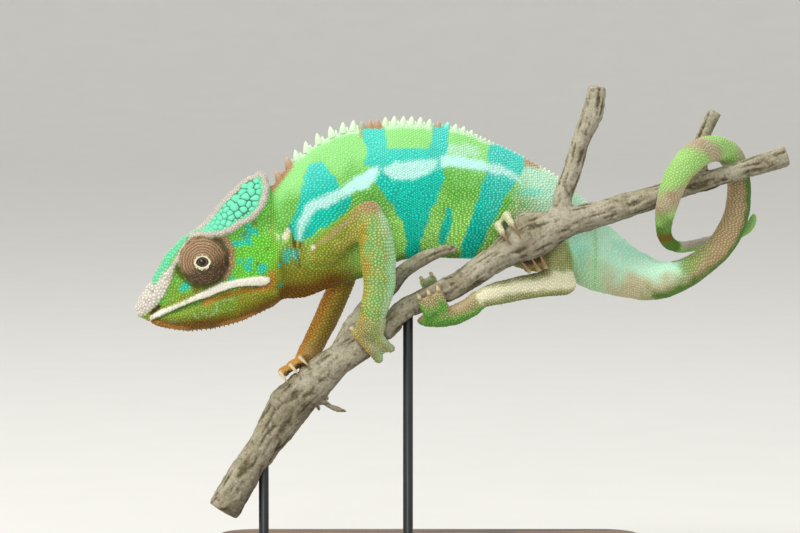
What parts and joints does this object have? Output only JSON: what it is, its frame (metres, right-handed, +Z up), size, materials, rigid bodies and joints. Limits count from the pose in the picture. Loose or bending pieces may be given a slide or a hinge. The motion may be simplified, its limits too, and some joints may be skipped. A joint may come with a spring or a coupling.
{
  "type": "panther chameleon model",
  "caption": "Life-size panther chameleon gripping a slanting cut branch, tail coiled round it, on a flat base with two rods.",
  "frame": {"origin": "centre of the stand base's underside", "axes": "+Z up; -X the way the animal faces, along the length of the branch; the animal's left side is towards -Y"},
  "size_m": [0.1973, 0.084, 0.1469],
  "materials": {
    "head_skin": "small scales, crests with larger plates",
    "jaw_skin": "small scales with a pale lip",
    "lid_skin": "fine rings of granules",
    "eye": "wet and glossy",
    "neck_skin": "granular scales",
    "trunk_skin": "granular scales, teal bands and a pale stripe",
    "tail_skin": "ringed scales",
    "arm_skin": "granular scales",
    "far_arm_skin": "granular scales",
    "leg_skin": "granular scales",
    "claw": "horn, smooth",
    "bark": "weathered grey bark",
    "base_wood": "dark stained, satin",
    "rod_metal": "satin black"
  },
  "bodies": {
    "root": {"eye_turret_left": "lid_skin", "eye_turret_right": "lid_skin", "eyeball_left": "eye", "eyeball_right": "eye", "front_left_claw_inner_1": "claw", "front_left_claw_inner_2": "claw", "front_left_claw_inner_3": "claw", "front_left_claw_outer_1": "claw", "front_left_claw_outer_2": "claw", "front_left_foot": "arm_skin", "front_left_lower_leg": "arm_skin", "front_left_upper_leg": "arm_skin", "front_right_claw_inner_1": "claw", "front_right_claw_inner_2": "claw", "front_right_claw_inner_3": "claw", "front_right_claw_outer_1": "claw", "front_right_claw_outer_2": "claw", "front_right_foot": "far_arm_skin", "front_right_lower_leg": "far_arm_skin", "front_right_upper_leg": "far_arm_skin", "head": "head_skin", "hind_left_claw_inner_1": "claw", "hind_left_claw_inner_2": "claw", "hind_left_claw_outer_1": "claw", "hind_left_claw_outer_2": "claw", "hind_left_claw_outer_3": "claw", "hind_left_foot": "leg_skin", "hind_left_lower_leg": "leg_skin", "hind_left_upper_leg": "leg_skin", "hind_right_claw_inner_1": "claw", "hind_right_claw_inner_2": "claw", "hind_right_claw_outer_1": "claw", "hind_right_claw_outer_2": "claw", "hind_right_claw_outer_3": "claw", "hind_right_foot": "leg_skin", "hind_right_lower_leg": "leg_skin", "hind_right_upper_leg": "leg_skin", "lower_jaw": "jaw_skin", "neck": "neck_skin", "perch_branch": "bark", "perch_fork_tail": "bark", "perch_fork_up": "bark", "perch_snag": "bark", "perch_stub_far": "bark", "stand_base": "base_wood", "stand_rod_1": "rod_metal", "stand_rod_2": "rod_metal", "tail_end": "tail_skin", "tail_inner": "tail_skin", "tail_lower": "tail_skin", "tail_outer": "tail_skin", "tail_root": "tail_skin", "tail_top": "tail_skin", "trunk": "trunk_skin"}
  },
  "joints": []
}
